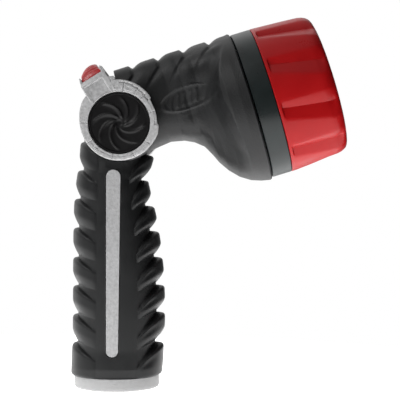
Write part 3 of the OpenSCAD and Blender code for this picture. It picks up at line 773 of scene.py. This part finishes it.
dial = smooth(dial_cover(), 30)
dress(dial, dial_red, "dial_red", "dial", "dial_grip")

collar = turned("dial_collar", COLLAR_OUTSIDE + SLEEVE, across, 240)
for angle in np.radians(np.arange(0, 360, 36)):
    middle = PORT_CIRCLE * np.array([math.cos(angle), math.sin(angle)])
    cut(collar, prism("port", around(PORT_R, 32) + middle, across, -1, 5))
smooth(collar, 30)
dress(collar, collar_black, "collar_plastic", "dial", "dial_base")

# ---- foot of the collar --------------------------------------------------------------------------

FOOT_RING = [(14.35, 0.35), (16.2, 0.35), (16.75, 0.5), (17.1, 0.8), (17.38, 1.4), (17.38, 1.9),
             (14.35, 1.9)]


def on_the_ground(x, y, z):
    """Point in the object's own frame."""
    return np.stack([x, y, np.full_like(x, z)], 1)


foot_ring = smooth(turned("collar_foot", FOOT_RING, on_the_ground, 180), 30)
dress(foot_ring, cast_metal, "cast_metal", "body")

# ---- carried-over CAD nodes ----------------------------------------------------------------------

FINISH = {
    "body_casting": cast_metal, "grip_inlay_left": inlay_metal, "grip_inlay_right": inlay_metal,
    "inlet_insert": plated_brass, "hose_washer": seal, "inlet_screen": steel, "valve_plug": brass,
    "valve_seat": seal, "plug_o_rings": seal, "hub_screws": steel, "hub_washers": steel,
    "port_seal": seal, "port_spring": steel, "detent_ball": steel, "detent_spring": steel,
    "chamber_block": chamber_white, "shower_disc": steel, "spray_face": face_black,
    "face_o_ring": seal, "dial_screw": steel, "dial_washer": steel, "face_plug": face_black,
}
for node, finish in FINISH.items():
    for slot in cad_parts[node].material_slots:
        slot.material = finish

# ---- floor, light and camera -----------------------------------------------------------------------

FLOOR_R, FLOOR_MIDDLE, FLOOR_DROP = 0.24, (-0.03, -0.03), 0.0006    # metres
PAPER_GLOW = 1.45
WHITE = (1, 1, 1, 1)

disc = around(FLOOR_R, 96) + np.array(FLOOR_MIDDLE)
floor_mesh = bpy.data.meshes.new("floor")
floor_mesh.from_pydata([(x, y, -FLOOR_DROP) for x, y in disc.tolist()], [], [list(range(len(disc)))])
floor = bpy.data.objects.new("floor", floor_mesh)
bpy.context.scene.collection.objects.link(floor)
paper = material("paper", (0.9, 0.9, 0.9), 0.95, 1.2, 8, mottle=0.01, specular=0.1)
paper_shader = paper.node_tree.nodes["Principled BSDF"]
paper_shader.inputs["Emission Color"].default_value = WHITE
paper_shader.inputs["Emission Strength"].default_value = PAPER_GLOW
floor.data.materials.append(paper)


def studio(front, back, top, left, right):
    """Soft studio round the object: a bright sweep behind it, a dimmer room in front, more light
    overhead and on the left, and little on the right. The camera sees a plain white backdrop."""
    world = bpy.data.worlds.new("studio")
    bpy.context.scene.world = world
    world.use_nodes = True
    nodes, links = world.node_tree.nodes, world.node_tree.links
    place = nodes.new("ShaderNodeTexCoord")
    axes = nodes.new("ShaderNodeSeparateXYZ")
    links.new(place.outputs["Generated"], axes.inputs[0])

    def ramp(axis, start, stop, low, high):
        """Smooth change of brightness from low to high along one axis of the direction."""
        node = nodes.new("ShaderNodeMapRange")
        node.interpolation_type = "SMOOTHSTEP"
        for name, value in (("From Min", start), ("From Max", stop), ("To Min", low), ("To Max", high)):
            node.inputs[name].default_value = value
        links.new(axes.outputs[axis], node.inputs["Value"])
        return node.outputs["Result"]

    def math_node(operation, a, b):
        node = nodes.new("ShaderNodeMath")
        node.operation = operation
        links.new(a, node.inputs[0])
        links.new(b, node.inputs[1])
        return node.outputs[0]

    glow = math_node("ADD", ramp("Y", -0.2, 0.8, front, back), ramp("Z", 0.25, 1.0, 0, top))
    glow = math_node("ADD", glow, ramp("X", -0.95, -0.15, left, 0))
    glow = math_node("MULTIPLY", glow, ramp("X", -0.05, 0.55, 1, right))
    path = nodes.new("ShaderNodeLightPath")
    seen = nodes.new("ShaderNodeMix")
    links.new(path.outputs["Is Camera Ray"], seen.inputs["Factor"])
    links.new(glow, seen.inputs[2])
    seen.inputs[3].default_value = 1.0
    nodes["Background"].inputs["Color"].default_value = WHITE
    links.new(seen.outputs[0], nodes["Background"].inputs["Strength"])


studio(front=0.12, back=0.85, top=0.3, left=0.25, right=0.06)


def aimed(name, data, place, target):
    """Object for a lamp or a camera, turned to look from a place at a target."""
    obj = bpy.data.objects.new(name, data)
    bpy.context.scene.collection.objects.link(obj)
    obj.location = Vector(place)
    obj.rotation_euler = (Vector(target) - obj.location).to_track_quat("-Z", "Y").to_euler()
    return obj


key = bpy.data.lights.new("key", "AREA")
key.shape = "DISK"
key.size = 0.3
key.energy = 1.25
aimed("key", key, (-0.5, -0.42, 0.6), (0.03, 0, 0.09))

lens = bpy.data.cameras.new("camera")
lens.lens = 108.96
lens.sensor_width = 36
lens.clip_start = 0.01
bpy.context.scene.camera = aimed("camera", lens, (0.0384, -0.5, 0.07475), (0.03428, 0, 0.0772))
bpy.context.scene.view_settings.view_transform = "Standard"
